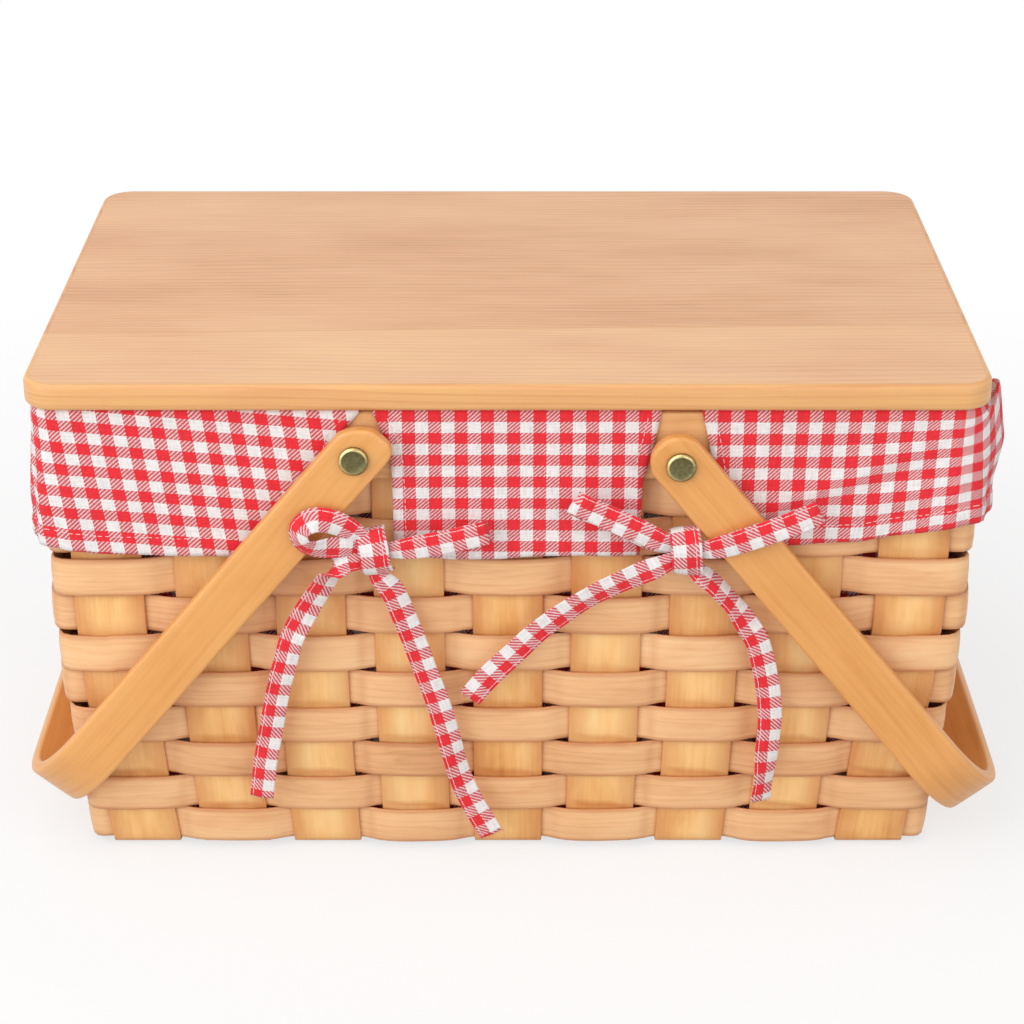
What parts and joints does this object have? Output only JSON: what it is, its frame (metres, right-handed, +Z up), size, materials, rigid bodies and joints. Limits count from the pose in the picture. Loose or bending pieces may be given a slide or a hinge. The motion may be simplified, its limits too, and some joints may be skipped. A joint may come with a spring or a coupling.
{
  "type": "picnic basket",
  "caption": "Rectangular woven splint picnic basket with a lift-off board lid, two swing handles on rivets and a gingham liner tied with bows.",
  "frame": {"origin": "under the middle of the base, on the surface that the basket stands on", "axes": "+X along the length, to the right seen from the front; +Y to the rear; +Z up"},
  "size_m": [0.4358, 0.286, 0.2296],
  "materials": {
    "weaver_splint": "satin varnished splint",
    "stake_splint": "satin varnished splint",
    "rim_wood": "satin varnished bent wood",
    "board": "satin clear lacquer",
    "bent_wood": "satin varnished bent wood",
    "antique_brass": "antique, darkened face with bright edge",
    "screw_steel": "zinc plated",
    "gingham": "matt woven cotton, red and white check"
  },
  "bodies": {
    "basket": {"weaver_01": "weaver_splint", "weaver_02": "weaver_splint", "weaver_03": "weaver_splint", "weaver_04": "weaver_splint", "weaver_05": "weaver_splint", "weaver_06": "weaver_splint", "weaver_07": "weaver_splint", "weaver_08": "weaver_splint", "weaver_09": "weaver_splint", "weaver_10": "weaver_splint", "cross_stake_1": "stake_splint", "cross_stake_2": "stake_splint", "cross_stake_3": "stake_splint", "cross_stake_4": "stake_splint", "cross_stake_5": "stake_splint", "cross_stake_6": "stake_splint", "cross_stake_7": "stake_splint", "cross_stake_8": "stake_splint", "cross_stake_9": "stake_splint", "length_stake_1": "stake_splint", "length_stake_2": "stake_splint", "length_stake_3": "stake_splint", "length_stake_4": "stake_splint", "length_stake_5": "stake_splint", "rim_outer": "rim_wood", "rim_inner": "rim_wood", "liner_bag": "gingham", "skirt_front": "gingham", "skirt_rear": "gingham", "skirt_left": "gingham", "skirt_right": "gingham", "tie_front_left_a": "gingham", "tie_front_left_b": "gingham", "tie_front_right_a": "gingham", "tie_front_right_b": "gingham", "tie_rear_left_a": "gingham", "tie_rear_left_b": "gingham", "tie_rear_right_a": "gingham", "tie_rear_right_b": "gingham", "rivet_front_left": "antique_brass", "rivet_rear_left": "antique_brass", "rivet_front_right": "antique_brass", "rivet_rear_right": "antique_brass", "spacer_front_left": "antique_brass", "spacer_rear_left": "antique_brass", "spacer_front_right": "antique_brass", "spacer_rear_right": "antique_brass"},
    "lid": {"lid_panel": "board", "lid_batten_left": "board", "lid_batten_right": "board", "lid_screw_front_left": "screw_steel", "lid_screw_rear_left": "screw_steel", "lid_screw_front_right": "screw_steel", "lid_screw_rear_right": "screw_steel"},
    "handle_left": {"handle_left": "bent_wood"},
    "handle_right": {"handle_right": "bent_wood"}
  },
  "joints": [
    {"name": "lid_lift", "type": "slide", "parent": "basket", "child": "lid", "axis": [0, 0, 1], "range_m": [0, 0.095]},
    {"name": "handle_left_swing", "type": "hinge", "parent": "basket", "child": "handle_left", "pos_m": [-0.0633, 0, 0.1994], "axis": [0, 1, 0], "range_deg": [0, 154.6]},
    {"name": "handle_right_swing", "type": "hinge", "parent": "basket", "child": "handle_right", "pos_m": [0.0713, 0, 0.1966], "axis": [0, -1, 0], "range_deg": [-2.3, 155.5]}
  ]
}
